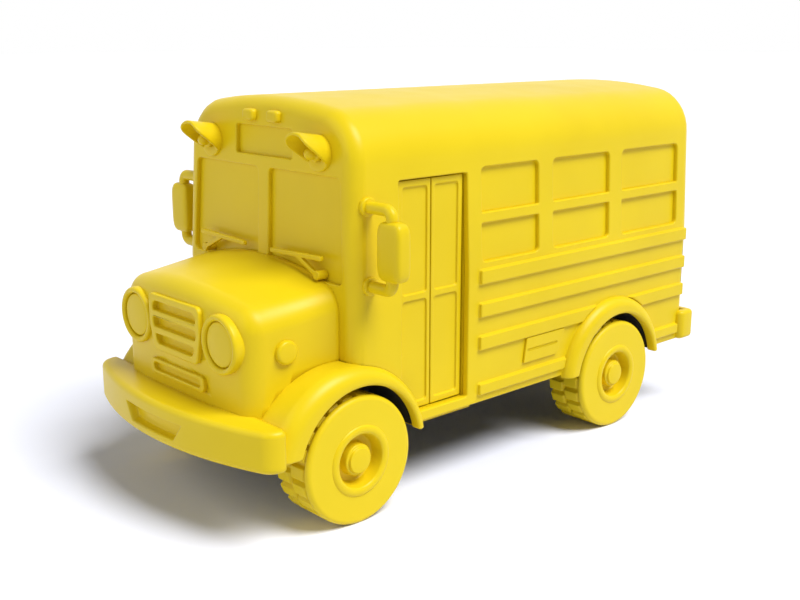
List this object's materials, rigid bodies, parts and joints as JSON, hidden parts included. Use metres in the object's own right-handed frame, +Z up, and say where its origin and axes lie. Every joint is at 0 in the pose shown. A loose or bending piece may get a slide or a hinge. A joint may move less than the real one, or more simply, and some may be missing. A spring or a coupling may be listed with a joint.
{
  "type": "toy school bus",
  "caption": "push-along moulded toy school bus with a short hood, round headlights, side rub rails, rolling wheelsets and an outward folding side door",
  "frame": {"origin": "centre of the bounding box on the ground, between the wheels", "axes": "+Z up; the nose points to -Y and the rear to +Y; the doorway is on the +X side"},
  "size_m": [0.1202, 0.218, 0.125],
  "materials": {
    "body_plastic": "satin-gloss moulded plastic",
    "tyre_plastic": "satin-gloss moulded plastic",
    "chassis_plastic": "matt black moulded plastic",
    "axle_steel": "drawn bright wire",
    "screw_steel": "zinc plated"
  },
  "bodies": {
    "bus": {"body_shell": "body_plastic", "chassis": "chassis_plastic", "hood": "body_plastic", "front_grille": "body_plastic", "lower_intake": "body_plastic", "headlight_bezel_left": "body_plastic", "headlight_bezel_right": "body_plastic", "headlight_lens_left": "body_plastic", "headlight_lens_right": "body_plastic", "side_lamp_left": "body_plastic", "side_lamp_right": "body_plastic", "front_bumper": "body_plastic", "rear_bumper": "body_plastic", "front_fender_left": "body_plastic", "front_fender_right": "body_plastic", "rear_fender_left": "body_plastic", "rear_fender_right": "body_plastic", "windscreen_left": "body_plastic", "windscreen_right": "body_plastic", "destination_panel": "body_plastic", "side_windows_left": "body_plastic", "side_windows_right": "body_plastic", "rear_window": "body_plastic", "emergency_door": "body_plastic", "tail_lamps": "body_plastic", "hatch_panel_left": "body_plastic", "hatch_panel_right": "body_plastic", "warning_lamp_hood_left": "body_plastic", "warning_lamp_hood_right": "body_plastic", "warning_lamp_bulb_left": "body_plastic", "warning_lamp_bulb_right": "body_plastic", "marker_lamps": "body_plastic", "wiper_left": "body_plastic", "wiper_right": "body_plastic", "mirror_arm_left": "body_plastic", "mirror_arm_right": "body_plastic", "mirror_head_left": "body_plastic", "mirror_head_right": "body_plastic", "door_frame": "body_plastic", "axle_clip_front": "chassis_plastic", "axle_clip_rear": "chassis_plastic", "chassis_screws": "screw_steel"},
    "front_wheelset": {"front_axle": "axle_steel", "tyre_front_left": "tyre_plastic", "tyre_front_right": "tyre_plastic", "rim_front_left": "body_plastic", "rim_front_right": "body_plastic", "hub_cap_front_left": "body_plastic", "hub_cap_front_right": "body_plastic"},
    "rear_wheelset": {"rear_axle": "axle_steel", "tyre_rear_left": "tyre_plastic", "tyre_rear_right": "tyre_plastic", "rim_rear_left": "body_plastic", "rim_rear_right": "body_plastic", "hub_cap_rear_left": "body_plastic", "hub_cap_rear_right": "body_plastic"},
    "rear_leaf": {"door_leaf_rear": "body_plastic", "door_hinge_pin": "screw_steel"},
    "front_leaf": {"door_leaf_front": "body_plastic"}
  },
  "joints": [
    {"name": "front_wheels_roll", "type": "hinge", "parent": "bus", "child": "front_wheelset", "pos_m": [0, -0.066, 0.02], "axis": [1, 0, 0], "continuous": true},
    {"name": "rear_wheels_roll", "type": "hinge", "parent": "bus", "child": "rear_wheelset", "pos_m": [0, 0.0587, 0.02], "axis": [1, 0, 0], "continuous": true},
    {"name": "rear_leaf_swing", "type": "hinge", "parent": "bus", "child": "rear_leaf", "pos_m": [0.0413, -0.0199, 0.0289], "axis": [0, 0, 1], "range_deg": [0, 80]},
    {"name": "front_leaf_fold", "type": "hinge", "parent": "rear_leaf", "child": "front_leaf", "pos_m": [0.0396, -0.033, 0.0289], "axis": [0, 0, 1], "range_deg": [-160, 0]}
  ],
  "couplings": [
    {"joint": "front_leaf_fold", "follows": "rear_leaf_swing", "ratio": -2}
  ]
}
